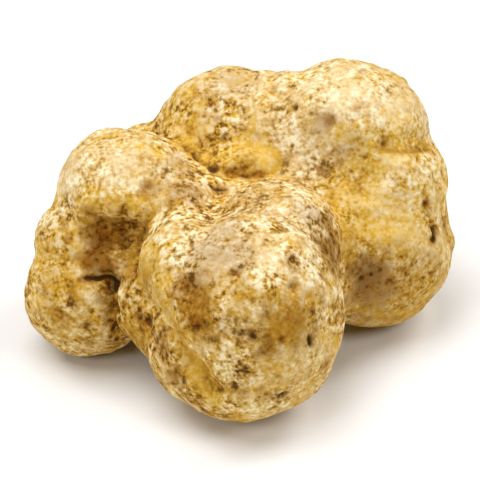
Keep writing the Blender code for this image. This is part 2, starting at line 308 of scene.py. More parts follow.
# Golden patches, where the rind is thin and moist: place, radius and strength.
GOLD = (
    # On the low lobe at the left, and beside it.
    ((-18.4, -8.6, 10.6), 2.0, 0.7),
    ((-24.6, -6.0, 14.4), 4.5, 0.9),
    # In the hollow on the left, and round it.
    ((-18.8, -3.2, 23.6), 2.4, 1.0),
    ((-16.0, -4.0, 23.2), 2.4, 1.0),
    ((-13.2, -4.6, 22.9), 2.4, 1.0),
    ((-13.5, -4.8, 17.8), 2.4, 1.0),
    ((-12.0, -6.2, 22.6), 1.8, 0.8),
    ((-18.6, -3.6, 20.4), 3.4, 0.9),
    ((-17.4, -3.4, 22.2), 2.2, 1.3),
    ((-14.2, -4.2, 21.6), 2.0, 1.1),
    ((-19.4, -2.9, 20.8), 1.6, 1.0),
    ((-22.6, -3.0, 19.4), 2.4, 0.9),
    # On the rib, and along the groove.
    ((-12.0, -10.0, 19.0), 4.2, 1.0),
    ((-11.6, -11.7, 14.9), 2.2, 0.9),
    ((-14.5, -11.0, 10.0), 4.0, 0.6),
    # On the front lobe.
    ((6.0, -23.4, 20.6), 2.8, 0.8),
    ((-5.2, -21.2, 20.4), 2.4, 0.7),
    ((-0.5, -20.9, 23.6), 2.4, 0.7),
    ((-11.8, -13.0, 21.4), 3.0, 1.2),
    ((-10.4, -15.6, 21.2), 2.4, 1.0),
    ((13.0, -9.0, 10.0), 4.0, 0.8),
    # In the middle, and on the crown.
    ((-7.5, 9.8, 25.8), 4.0, 0.9),
    ((-4.8, 7.0, 24.3), 3.5, 1.0),
    ((-0.4, 5.1, 25.4), 3.6, 1.0),
    ((2.2, 5.2, 25.6), 2.6, 1.2),
    ((-5.2, 9.2, 27.2), 2.4, 1.0),
    # On the right.
    ((16.4, 5.2, 26.9), 3.0, 1.0),
    ((16.6, 4.0, 25.2), 3.6, 1.0),
    ((16.0, 6.2, 28.2), 2.6, 0.9),
    ((16.6, 1.0, 21.8), 4.6, 1.0),
    ((18.6, -0.8, 19.2), 5.0, 0.9),
    ((21.0, 7.0, 27.4), 3.4, 0.8),
    ((22.5, 2.0, 20.5), 5.0, 0.5),
    ((22.0, -3.0, 9.0), 4.6, 0.5),
    # On the sides and the back.
    ((-8.0, 12.6, 28.0), 4.0, 0.8),
    ((26.0, 10.0, 20.0), 4.0, 0.8),
    ((7.8, 23.2, 19.0), 3.4, 1.0),
    ((-7.4, 23.4, 19.0), 3.0, 1.0),
    ((-15.0, 18.6, 22.0), 4.0, 0.8),
    ((-23.4, 5.0, 18.0), 4.0, 0.9),
    ((-14.0, 15.6, 22.6), 3.6, 1.0),
)

# Golden bands: radius, strength and the path's points.
GOLD_BANDS = (
    # The groove down the left of the front lobe.
    (1.6, 1.2, GROOVE_TOP + ((-4.7, -22.9, 11.5), (-3.6, -24.2, 8.2))),
    # The rim of the hollow on the left, then its right side and its left side.
    (
        1.4, 1.0,
        (
            (-20.6, -2.8, 23.4), (-18.7, -3.3, 24.3), (-16.9, -3.6, 24.8),
            (-15.3, -4.2, 24.0), (-13.5, -4.6, 23.4), (-11.8, -4.6, 22.6),
        ),
    ),
    (1.2, 1.2, HOLLOW_SIDE),
    (1.0, 1.0, ((-21.1, -3.1, 20.9), (-22.3, -3.9, 19.3), (-20.9, -5.2, 17.9))),
    # The ridge behind the middle.
    (
        1.2, 1.0,
        (
            (-9.4, 12.0, 27.4), (-8.4, 10.7, 26.2), (-6.8, 8.8, 25.4),
            (-4.8, 7.0, 24.3), (-3.4, 6.0, 24.6),
        ),
    ),
    # The crease on the right.
    (1.6, 1.1, ((13.0, 5.4, 29.2), (15.3, 5.1, 28.6), (17.0, 5.4, 27.6)) + CREASE),
)

# Brown bands, some of them painted shadow lines: radius, strength and the path's points.
STAIN_BANDS = (
    # Down the groove, and a painted shadow along the ledge under the hollow on the left.
    (0.9, 0.45, GROOVE_TOP),
    (0.8, 0.9, LEDGE),
    # Painted shadow just under the rim of the hollow, a brown band on its right side, and more painted
    # shadow across its top.
    (
        0.9, 0.15,
        (
            (-20.6, -2.8, 23.0), (-18.7, -3.3, 23.9), (-16.9, -3.6, 24.4),
            (-15.3, -4.2, 23.6), (-13.5, -4.6, 23.0), (-11.8, -4.6, 22.4),
        ),
    ),
    (1.0, 0.2, HOLLOW_SIDE),
    (0.9, 0.9, ((-18.6, -3.0, 21.6), (-16.6, -3.4, 21.2), (-14.6, -3.8, 20.6))),
    # Along the crease on the right.
    (0.7, 0.7, ((18.2, 5.4, 27.3), (21.2, 5.6, 26.5), (22.9, 6.9, 25.9), (24.6, 9.2, 24.4))),
    # Painted shadow lines beside the ridge behind the middle, and under the bud.
    (0.7, 0.5, ((-7.8, 8.2, 24.8), (-6.2, 6.4, 23.9), (-4.6, 4.6, 24.2))),
    (0.8, 1.0, ((-1.8, 3.6, 24.8), (0.9, 2.7, 24.4), (2.8, 3.2, 24.5))),
)

# Pale patches, where the rind is dry and rubbed: place, radius and strength. One on the right is also a
# painted pool of light.
PALE = (
    # On the low lobe at the left, and beside it.
    ((-22.0, -8.0, 6.6), 3.0, 0.5),
    ((-19.8, -8.8, 13.2), 1.2, 1.3),
    ((-20.8, -8.4, 4.8), 1.8, 0.9),
    ((-22.6, -8.9, 8.8), 1.6, 0.8),
    ((-18.2, -9.3, 10.6), 1.6, 0.7),
    ((-15.5, -9.8, 15.1), 0.8, 0.4),
    # In the hollow on the left, and round it.
    ((-17.4, -3.4, 22.2), 1.8, 0.8),
    ((-20.4, -7.0, 15.6), 1.0, 0.5),
    ((-15.9, -6.4, 16.8), 0.8, 1.0),
    # On the upper left lobe.
    ((-21.8, 1.0, 24.0), 4.0, 0.9),
    ((-22.2, -1.0, 22.5), 2.0, 0.8),
    ((-24.4, -1.0, 20.2), 2.4, 1.0),
    ((-16.0, -1.2, 27.5), 4.2, 0.7),
    ((-17.2, -2.0, 26.9), 2.0, 0.9),
    # On the front lobe.
    ((-11.6, -5.9, 23.2), 1.8, 0.7),
    ((-5.3, -11.4, 25.4), 4.0, 0.6),
    ((3.8, -8.3, 26.2), 4.5, 0.7),
    ((7.6, -12.6, 25.8), 4.0, 0.7),
    ((-8.6, -14.6, 24.3), 1.8, 1.1),
    ((1.2, -17.4, 26.0), 4.0, 0.5),
    ((9.0, -22.5, 13.0), 5.0, 0.5),
    ((2.5, -25.0, 8.6), 3.5, 0.5),
    # In the middle, and on the crown.
    ((7.7, 4.9, 25.6), 2.6, 0.9),
    ((5.0, 7.8, 28.0), 3.4, 0.9),
    ((-6.0, 12.4, 30.2), 1.4, 0.9),
    ((-2.8, 11.6, 29.8), 1.0, 0.9),
    ((-7.2, 11.6, 26.6), 1.2, 0.8),
    ((5.8, 4.8, 26.1), 1.2, 1.0),
    ((7.0, 4.6, 26.0), 3.6, 0.8),
    # On the right.
    ((13.1, 10.1, 33.2), 7.0, 1.0),
    ((19.3, 8.0, 30.1), 5.0, 0.7),
    ((12.0, 6.4, 29.8), 3.4, 1.0),
    ((13.6, 4.9, 27.2), 2.6, 0.8),
    ((22.5, 3.6, 24.6), 4.0, 0.6),
    ((24.6, 1.6, 16.2), 3.6, 0.5),
    ((15.6, 2.4, 23.4), 4.0, 0.25),
    ((18.6, -1.0, 18.2), 4.0, 0.25),
    # Partly dry pale rind, partly a painted pool of light on the right lobe's upper side.
    ((20.9, 2.2, 21.2), 6.0, 1.0),
    # On the sides and the back.
    ((24.0, 13.0, 27.0), 4.0, 0.8),
    ((26.8, 12.0, 9.0), 3.0, 0.6),
    ((15.0, 23.6, 26.0), 4.0, 0.9),
    ((1.0, 24.0, 28.0), 4.5, 0.9),
    ((-12.0, 20.0, 25.0), 2.6, 0.8),
    ((-22.0, 7.4, 25.6), 3.6, 0.8),
    ((-22.0, 14.6, 17.6), 3.4, 0.8),
)

# Ashen patches, where the dry rind is greyish: place, radius and strength.
ASH = (
    # In the hollow on the left, and round it.
    ((-19.2, -4.4, 18.8), 2.0, 0.6),
    ((-18.8, -5.8, 17.2), 1.6, 0.9),
    # On the upper left lobe.
    ((-9.4, -1.4, 26.2), 2.6, 0.5),
    # On the front lobe.
    ((-4.2, -16.6, 25.0), 3.4, 0.7),
    ((-0.4, -17.0, 25.5), 3.2, 0.7),
    ((-2.0, -13.5, 26.0), 3.0, 0.6),
    ((8.8, -7.6, 25.8), 2.6, 0.7),
    ((12.0, -9.0, 20.6), 2.6, 0.7),
    # In the middle, and on the crown.
    ((-1.0, 15.6, 31.2), 3.6, 0.6),
    ((11.0, 6.9, 30.1), 1.6, 0.5),
    # On the right.
    ((17.0, -4.0, 12.6), 3.6, 1.0),
)

# Calm zones, where the rind is smooth and only finely speckled: place, radius and strength.
CALM = (
    # In the hollow on the left, and round it.
    ((-17.8, -4.8, 18.0), 2.8, 0.6),
    ((-17.2, -4.2, 18.8), 3.2, 1.4),
    # On the upper left lobe.
    ((-17.0, 3.0, 28.5), 8.0, 0.9),
    ((-11.0, -1.0, 25.5), 4.0, 0.7),
    # On the front lobe.
    ((3.0, -6.0, 26.0), 5.0, 0.6),
    ((-3.0, -15.5, 25.5), 4.0, 0.5),
    ((-5.4, -21.0, 20.8), 3.0, 1.2),
    ((6.4, -23.0, 20.4), 3.6, 1.3),
    ((-11.6, -13.4, 21.2), 3.2, 1.4),
    ((-10.4, -15.8, 21.2), 2.6, 1.2),
    ((7.0, -23.0, 8.0), 6.0, 0.5),
    ((9.0, -22.0, 12.0), 6.5, 1.0),
    # In the middle, and on the crown.
    ((-1.5, 15.0, 31.0), 6.0, 0.9),
    ((4.0, 9.0, 29.5), 5.0, 0.7),
    ((1.4, 5.2, 25.5), 4.4, 1.5),
    ((-6.5, 9.0, 25.4), 3.0, 0.6),
    # On the right.
    ((14.0, 11.0, 32.5), 9.0, 1.0),
    ((21.0, 9.0, 29.0), 8.0, 1.0),
    ((17.0, 1.0, 22.0), 9.0, 1.1),
    ((22.0, 1.0, 18.0), 8.0, 1.0),
    ((17.0, -4.0, 11.0), 9.0, 1.0),
    ((23.0, 0.0, 10.0), 9.0, 1.0),
    ((25.5, 12.0, 18.0), 7.0, 0.9),
    # On the sides and the back.
    ((15.0, 22.0, 24.0), 8.0, 0.9),
    ((0.5, 24.0, 24.0), 6.0, 0.7),
    ((-21.5, 8.0, 24.0), 6.0, 0.8),
    ((-22.0, 14.0, 15.0), 5.0, 0.5),
)

# Single bumps and dents: place, radius, height and how dark.
KNOBS = (
    # The scalloped rim of the hollow on the left, and the hollow itself.
    ((-19.8, -2.8, 23.8), 1.5, 0.5, 0.0),
    ((-16.9, -4.1, 23.6), 1.5, 0.6, 0.0),
    ((-14.2, -4.4, 23.0), 1.2, 0.4, 0.0),
    ((-12.8, -4.8, 22.2), 1.4, 0.5, 0.0),
    ((-18.4, -3.4, 24.2), 1.1, -0.3, 0.1),
    ((-15.0, -4.2, 23.3), 1.1, -0.3, 0.1),
    ((-17.9, -4.4, 18.2), 2.2, -0.4, 0.0),
    ((-15.0, -4.0, 17.8), 1.6, -0.4, 0.0),
    ((-16.4, -3.6, 18.6), 1.2, 0.4, 0.0),
    # The bud in the middle, and the ridge behind it.
    ((-0.4, 5.2, 25.4), 3.0, 0.7, 0.0),
    ((2.2, 5.2, 25.6), 3.0, 0.8, 0.0),
    ((3.8, 5.0, 25.0), 2.0, 0.4, 0.0),
    ((-8.4, 10.7, 26.2), 1.8, 0.4, 0.0),
    ((-6.8, 8.8, 25.4), 1.8, 0.5, 0.0),
    ((-4.8, 7.0, 24.3), 1.8, 0.4, 0.0),
    # Two dents beside the ridge, darkened as a painted shadow line.
    ((-7.6, 8.0, 24.7), 1.0, -0.4, 0.3),
    ((-6.2, 6.4, 24.0), 1.0, -0.4, 0.3),
    ((-3.5, 3.9, 24.8), 1.0, -0.5, 1.0),
    # On the crown.
    ((-1.3, 11.3, 30.0), 1.6, -0.25, 0.1),
    ((11.4, 6.8, 30.2), 1.8, -0.4, 0.0),
    ((-5.9, 13.4, 30.5), 0.7, -0.3, 0.6),
    ((-4.1, 12.5, 30.4), 0.8, -0.4, 0.6),
    ((-3.4, 11.0, 29.5), 0.8, -0.4, 0.5),
    ((7.2, 9.5, 30.8), 0.7, -0.3, 0.7),
    # On the right.
    ((15.9, -4.2, 13.0), 0.6, -0.4, 0.8),
    ((17.2, -3.8, 13.2), 0.5, -0.3, 0.8),
    ((18.4, -3.6, 13.9), 0.5, -0.3, 0.7),
    ((16.6, -4.2, 11.6), 0.5, -0.3, 0.6),
    ((19.7, -3.8, 12.3), 0.5, -0.3, 0.6),
    ((18.9, 6.0, 27.5), 0.7, -0.3, 0.6),
    ((24.3, 3.0, 19.8), 0.9, -0.4, 0.6),
    ((25.5, 1.9, 16.5), 0.8, -0.3, 0.7),
    ((25.5, 0.6, 15.8), 0.9, -0.3, 0.7),
    # On the sides and the back.
    ((27.2, 8.4, 17.0), 0.9, -0.4, 0.7),
    ((25.8, 15.0, 19.0), 0.8, -0.4, 0.6),
    ((2.0, 25.8, 20.6), 0.9, -0.4, 0.7),
    ((14.0, 24.0, 15.0), 0.8, -0.4, 0.7),
    ((-6.0, 24.0, 12.0), 1.0, -0.4, 0.6),
    ((-24.0, 8.0, 14.0), 0.9, -0.4, 0.7),
    ((-27.4, -0.5, 10.0), 0.8, -0.4, 0.6),
    # On the front lobe and its bulge.
    ((5.3, -12.5, 26.7), 0.8, -0.3, 0.5),
    ((6.6, -17.7, 25.5), 1.0, -0.3, 0.2),
    ((6.6, -20.7, 23.4), 1.0, -0.3, 0.2),
    ((-0.8, -19.4, 24.6), 0.8, -0.2, 0.5),
    ((1.6, -25.2, 18.9), 0.6, -0.25, 0.6),
    ((5.0, -24.8, 18.2), 0.7, -0.25, 0.6),
    ((9.0, -22.7, 16.1), 0.8, -0.3, 0.7),
    ((-0.7, -25.2, 10.4), 1.3, -0.3, 0.1),
    ((-8.5, -14.7, 24.0), 0.6, -0.3, 0.6),
    ((-7.5, -14.7, 24.3), 0.6, -0.3, 0.6),
    # At the end of the ledge, and on the rib.
    ((-16.3, -6.4, 13.0), 1.2, -0.3, 0.8),
    ((-13.2, -12.6, 12.6), 1.0, -0.5, 0.6),
    ((-12.1, -13.2, 12.5), 0.9, -0.5, 0.6),
    ((-11.2, -15.2, 12.9), 0.7, -0.4, 0.6),
    # On the upper left lobe.
    ((-12.2, -2.3, 26.1), 1.1, -0.35, 0.2),
)

# Clusters of tiny dark specks: place, radius and strength.
SPECKS = (
    # On the low lobe at the left, and beside it.
    ((-23.7, -7.9, 13.0), 4.5, 0.9),
    ((-19.0, -9.0, 8.0), 4.0, 0.8),
    # In the hollow on the left, and round it.
    ((-15.5, -4.0, 18.7), 3.0, 0.7),
    # On the upper left lobe.
    ((-22.5, -1.0, 22.0), 3.0, 0.5),
    ((-17.9, 2.8, 28.6), 4.5, 0.5),
    # On the rib, and along the groove.
    ((-12.4, -13.2, 12.5), 3.0, 1.0),
    # On the front lobe.
    ((-8.0, -14.7, 24.1), 2.2, 1.0),
    ((5.3, -10.5, 26.4), 3.2, 1.0),
    ((-0.5, -24.8, 17.6), 3.0, 1.0),
    ((-7.0, -22.0, 18.0), 2.0, 0.8),
    ((-1.5, -24.6, 18.0), 3.0, 0.9),
    ((0.6, -25.7, 13.6), 2.6, 0.9),
    ((5.0, -24.4, 9.0), 2.6, 0.9),
    ((12.0, -8.0, 21.5), 3.0, 0.7),
    # In the middle, and on the crown.
    ((-3.7, 12.0, 29.8), 3.6, 1.0),
    ((-1.0, 4.5, 25.2), 4.0, 0.7),
    # On the right.
    ((14.0, 3.5, 25.0), 3.6, 0.7),
    ((16.0, 13.0, 33.6), 4.5, 0.5),
    ((15.2, 7.6, 32.0), 3.0, 0.6),
    ((18.3, -0.5, 19.7), 5.0, 0.25),
    ((20.0, -3.0, 12.0), 5.0, 0.3),
    ((15.5, -4.0, 14.0), 3.5, 0.7),
    ((25.0, 2.0, 17.5), 3.0, 0.8),
)

# Scattered pits: spacing, radius and the share of the places that hold one.
PITS = (
    (3.4, 0.85, 0.55),
    (1.9, 0.5, 0.8),
)

# ---------------------------------------------------------------------------
# The studio, in metres and watts.

FLOOR_RADIUS = 2.0
FLOOR_SIDES = 96
AIM_SHIFT = Vector((-0.0001, -0.0003, -0.0005))   # from the middle of the solid's box

# The lights, all aimed at the truffle: name, place, size and power.
LIGHTS = (
    ("top", (-0.15, 0.0, 0.5), 0.5, 2.3),
    ("left", (-0.5, -0.55, 0.5), 0.3, 1.75),
    ("back", (0.42, 0.3, 0.5), 0.35, 2.5),
    ("right", (0.45, -0.3, 0.5), 0.3, 1.5),
    ("far_left", (-0.5, 0.3, 0.5), 0.25, 0.7),
)


# ---------------------------------------------------------------------------
# What a user would change.


def colour(name, description, default):
    return FloatVectorProperty(name=name, description=description, subtype="COLOR", default=default)


def length(name, description, default):
    return FloatProperty(name=name, description=description, default=default, unit="LENGTH", precision=5)


class RindSizes(bpy.types.PropertyGroup):
    """How fine the rind's skin is, and how rough"""

    grid: length("Grid", "Spacing of the skin's points", 0.00034)
    softening: IntProperty(
        name="Softening", description="Smoothing passes that take the solid's facets away",
        default=9,
    )
    knobbles: length("Knobbles", "Height of the small rounded bumps", 0.00018)
    pits: length("Pits", "Depth of the deepest scattered pits", 0.0005)


class RindColours(bpy.types.PropertyGroup):
    """The colours that the rind is mixed from"""

    tan: colour("Tan", "The rind's usual colour", (0.60, 0.39, 0.13))
    cream: colour("Cream", "Dry rubbed rind", (0.755, 0.57, 0.30))
    straw: colour("Straw", "Dry rind in the golden patches", (0.72, 0.50, 0.16))
    gold: colour("Gold", "Moist rind in the hollows", (0.64, 0.38, 0.045))
    ochre: colour("Ochre", "Mottles and deeper clefts", (0.38, 0.225, 0.06))
    amber: colour("Amber", "Darker mottles in the golden patches", (0.44, 0.23, 0.03))
    stain: colour("Stain", "The darkest mottles and specks", (0.22, 0.11, 0.02))
    soil: colour("Soil", "What a brown stain takes the rind's colour down to", (0.47, 0.31, 0.09))
    # Also the colour of the painted shadow lines along some cracks and dents.
    pore_and_shade: colour("Pore", "The dark inside of pores and cracks", (0.07, 0.032, 0.006))
    # Painted shade: the tint that darkens and warms the rind towards the bottom.
    low_shade: colour("Below", "Tint of the rind near the ground", (0.97, 0.92, 0.72))
    ash: colour("Ash", "Greyish dry rind", (0.50, 0.38, 0.25))
    fleck: colour("Fleck", "Pale flecks of flaking rind", (0.88, 0.77, 0.52))


class StudioSettings(bpy.types.PropertyGroup):
    """The floor, the lights and the camera"""

    floor_colour: colour("Floor", "Colour of the floor", (0.90, 0.90, 0.90))
    light: FloatProperty(name="Light", description="Share of the lights' usual power", default=1.03)
    sky: FloatProperty(name="Sky", description="Brightness of the white surround", default=0.02)
    elevation: FloatProperty(
        name="Camera height", description="Camera's angle above the floor",
        default=math.radians(35), subtype="ANGLE",
    )
    distance: length("Camera distance", "From the camera to the truffle", 0.6)
    framing: length("Framing", "Width that the picture takes in", 0.0634)


# ---------------------------------------------------------------------------
# The skin's shape.


def sampled(places, grain, shift):
    """Noise at each place, with bumps of about that grain. The shift sets one noise apart from another."""
    offset = np.array((shift, 1.7 * shift, 0.6 * shift))
    return np.array([noise.noise(Vector(p)) for p in places / grain + offset])


def smoothstep(low, high, values):
    """Runs smoothly from 0 to 1 as the values go from low to high."""
    share = np.clip((values - low) / (high - low), 0.0, 1.0)
    return share * share * (3.0 - 2.0 * share)


def dome(reach):
    """1 in the middle of a spot, 0 from its rim outwards."""
    return np.clip(1.0 - reach ** 2, 0.0, None) ** 2


def merged_copy(node, name):
    """A new object with the solid's mesh, its loose triangles joined into one surface."""
    mesh = bmesh.new()
    mesh.from_mesh(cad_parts[node].data)
    bmesh.ops.remove_doubles(mesh, verts=mesh.verts, dist=TOUCHING * MM)
    data = bpy.data.meshes.new(name)
    mesh.to_mesh(data)
    mesh.free()
    piece = bpy.data.objects.new(name, data)
    bpy.context.scene.collection.objects.link(piece)
    return piece


def apply_modifiers(piece):
    graph = bpy.context.evaluated_depsgraph_get()
    made = bpy.data.meshes.new_from_object(piece.evaluated_get(graph))
    old = piece.data
    piece.modifiers.clear()
    piece.data = made
    bpy.data.meshes.remove(old)
    made.name = piece.name


def refine(piece, grid, softening):
    """Covers the solid with an even fine grid, and rounds its facets off."""
    even = piece.modifiers.new("even", "REMESH")
    even.mode = "VOXEL"
    even.voxel_size = grid
    soften = piece.modifiers.new("soften", "SMOOTH")
    soften.factor = 0.5
    soften.iterations = softening
    apply_modifiers(piece)


class Skin:
    """The piece's points as arrays, in millimetres."""

    def __init__(self, piece):
        self.mesh = piece.data
        self.count = len(self.mesh.vertices)
        self.places = np.empty(self.count * 3)
        self.mesh.vertices.foreach_get("co", self.places)
        self.places = self.places.reshape(-1, 3) / MM
        self.edges = np.empty(len(self.mesh.edges) * 2, dtype=int)
        self.mesh.edges.foreach_get("vertices", self.edges)
        self.edges = self.edges.reshape(-1, 2)
        self.valence = np.bincount(self.edges.ravel(), minlength=self.count)
        self.dark = np.zeros(self.count)

    def update(self):
        """Writes the places back to the mesh, no lower than the ground."""
        self.places[:, 2] = np.maximum(self.places[:, 2], 0.0)
        self.mesh.vertices.foreach_set("co", (self.places * MM).ravel())
        self.mesh.update()

    def normals(self):
        values = np.empty(self.count * 3)
        self.mesh.vertices.foreach_get("normal", values)
        return values.reshape(-1, 3)

    def averaged(self, values, passes):
        """The values, one column for each, spread to their neighbours a number of times."""
        first, second = self.edges.T
        for _ in range(passes):
            total = np.stack(
                [
                    np.bincount(first, column[second], self.count)
                    + np.bincount(second, column[first], self.count)
                    for column in values.T
                ],
                axis=1,
            )
            values = 0.5 * values + 0.5 * total / self.valence[:, None]
        return values

    def hollowness(self, passes):
        """How far each point lies below its surroundings, in millimetres."""
        around = self.averaged(self.places, passes)
        return np.einsum("ij,ij->i", around - self.places, self.normals())

    def raise_by(self, heights):
        self.places += self.normals() * heights[:, None]
        self.update()

    def tree(self):
        faces = [tuple(p.vertices) for p in self.mesh.polygons]
        return BVHTree.FromPolygons([Vector(p) for p in self.places], faces)

    def store(self, name, values):
        attribute = self.mesh.attributes.new(name, "FLOAT", "POINT")
        attribute.data.foreach_set("value", values.astype(np.float32))


def knobble(skin, height):
    """Small rounded bumps of several sizes, with creases between them."""
    broad = sampled(skin.places, 3.6, 3.0)
    crease = np.abs(sampled(skin.places, 2.3, 9.0)) - 0.22    # about 0 on average
    small = sampled(skin.places, 1.25, 21.0)
    skin.raise_by(height * (broad + 1.5 * crease + 0.45 * small))


def scattered_spots(places, spacing):
    """For each point, how far the nearest of some scattered spots is, and that spot's own chance."""
    distances = np.empty(len(places))
    chances = np.empty(len(places))
    for number, place in enumerate(places / spacing + spacing):
        near, spots = noise.voronoi(Vector(place))
        distances[number] = near[0]
        chances[number] = noise.cell(spots[0] * 37.0)    # the same all over one spot
    return distances * spacing, np.abs(chances)


def press_pits(skin, depth):
    """Pits in clusters: some wide, more of them small."""
    crowd = smoothstep(-0.15, 0.35, sampled(skin.places, 7.0, 31.0))
    heights = np.zeros(skin.count)
    for spacing, radius, share in PITS:
        distance, chance = scattered_spots(skin.places, spacing)
        size = radius * (0.6 + 0.5 * chance)
        present = (chance < share * (0.35 + 0.65 * crowd)).astype(float)
        pit = present * dome(distance / size)
        heights -= depth * radius * pit
        skin.dark += PIT_DARKNESS * pit
    skin.raise_by(heights)


def raise_knobs(skin):
    """The single bumps and dents of the table."""
    heights = np.zeros(skin.count)
    for place, radius, height, darkness in KNOBS:
        reach = np.linalg.norm(skin.places - np.array(place), axis=1) / radius
        spot = dome(np.minimum(reach, 1.0))
        heights += height * spot
        skin.dark += darkness * spot
    skin.raise_by(heights)


def laid_path(tree, points):
    """Points along a path, close together, wandering a little, and laid on the surface."""
    corners = [Vector(p) for p in points]
    way = []
    for start, end in zip(corners, corners[1:]):
        steps = max(1, round((end - start).length / PATH_STEP))
        way += [start.lerp(end, n / steps) for n in range(steps)]
    way.append(corners[-1])
    strayed = [p + PATH_WANDER * noise.noise_vector(p / WANDER_GRAIN) for p in way]
    return [tree.find_nearest(p)[0] for p in strayed]


def press_cracks(skin):
    """The cracks of the table, each ragged along its length and running out at its ends."""
    tree = skin.tree()
    heights = np.zeros(skin.count)
    for _, half_width, depth, darkness, points in CRACKS:
        path = laid_path(tree, points)
        crack = np.zeros(skin.count)
        for number, place in enumerate(path):
            from_end = min(number, len(path) - 1 - number) / CRACK_FADE
            raggedness = 1.0 + CRACK_RAGGEDNESS * noise.noise(place / CRACK_GRAIN)
            share = min(1.0, 0.3 + from_end) * raggedness
            reach = np.linalg.norm(skin.places - np.array(place), axis=1) / half_width
            crack = np.maximum(crack, share * dome(np.minimum(reach, 1.0)))
        heights -= depth * crack
        skin.dark += darkness * crack
    skin.raise_by(heights)


def patches(places, spots, ragged):
    """How strongly each point lies in any of the table's patches, with ragged outlines."""
    strength = np.zeros(len(places))
    for place, radius, share in spots:
        reach = np.linalg.norm(places - np.array(place), axis=1) / radius * ragged
        strength = np.maximum(strength, share * dome(np.minimum(reach / PATCH_FEATHER, 1.0)))
    return strength


def banded(tree, bands):
    """The spots that make a table's bands, one at every other point of each path."""
    return tuple(
        (place, radius, share)
        for radius, share, points in bands
        for place in laid_path(tree, points)[::2]
    )


def mark_surface(skin):
    """Stores on each point what the finish needs to know about it."""
    ragged = 1.0 + PATCH_RAGGEDNESS * sampled(skin.places, PATCH_GRAIN, 71.0)
    tree = skin.tree()
    bands = patches(skin.places, banded(tree, GOLD_BANDS), ragged)
    # The stain values also hold painted shade: in the hollow on the left, low on the right lobe and along
    # some shadow lines.
    skin.store("stain", patches(skin.places, STAINS + banded(tree, STAIN_BANDS), ragged))
    skin.store("gold", np.maximum(patches(skin.places, GOLD, ragged), bands))
    skin.store("pale", patches(skin.places, PALE, ragged))
    skin.store("ash", patches(skin.places, ASH, ragged))
    skin.store("calm", np.maximum(patches(skin.places, CALM, 1.0), bands))
    skin.store("specks", patches(skin.places, SPECKS, ragged))
    # Dark pits and cracks, and painted shadow lines along some of the cracks and dents.
    skin.store("dark", np.clip(skin.dark, 0.0, 1.0))
    # Painted shade towards the bottom.
    skin.store("low", smoothstep(LOW_SHADE_FROM, LOW_SHADE_FULL, skin.places[:, 2]))
    # Painted shade in dips and hollows, and painted light on crests, are read from these two.
    skin.store("dip", np.clip(0.5 + DIP_GAIN * skin.hollowness(DIP_PASSES), 0.0, 1.0))
    skin.store("hollow", np.clip(0.5 + HOLLOW_GAIN * skin.hollowness(HOLLOW_PASSES), 0.0, 1.0))


# ---------------------------------------------------------------------------
# The finish.

# What the finish reads from the skin's points.
MARKS = ("stain", "gold", "pale", "ash", "calm", "specks", "dark", "low", "dip", "hollow")
RIND_SPECULAR = 0.08
WHITE = (1.0, 1.0, 1.0)


class Value:
    """A socket whose arithmetic adds Math nodes."""

    def __init__(self, finish, socket):
        self.finish = finish
        self.socket = socket

    def maths(self, operation, *values):
        return self.finish.node("ShaderNodeMath", {"operation": operation}, dict(enumerate(values)))

    def __add__(self, other):
        return self.maths("ADD", self, other)

    def __sub__(self, other):
        return self.maths("SUBTRACT", self, other)

    def __rsub__(self, other):
        return self.maths("SUBTRACT", other, self)

    def __mul__(self, other):
        return self.maths("MULTIPLY", self, other)

    __radd__ = __add__
    __rmul__ = __mul__


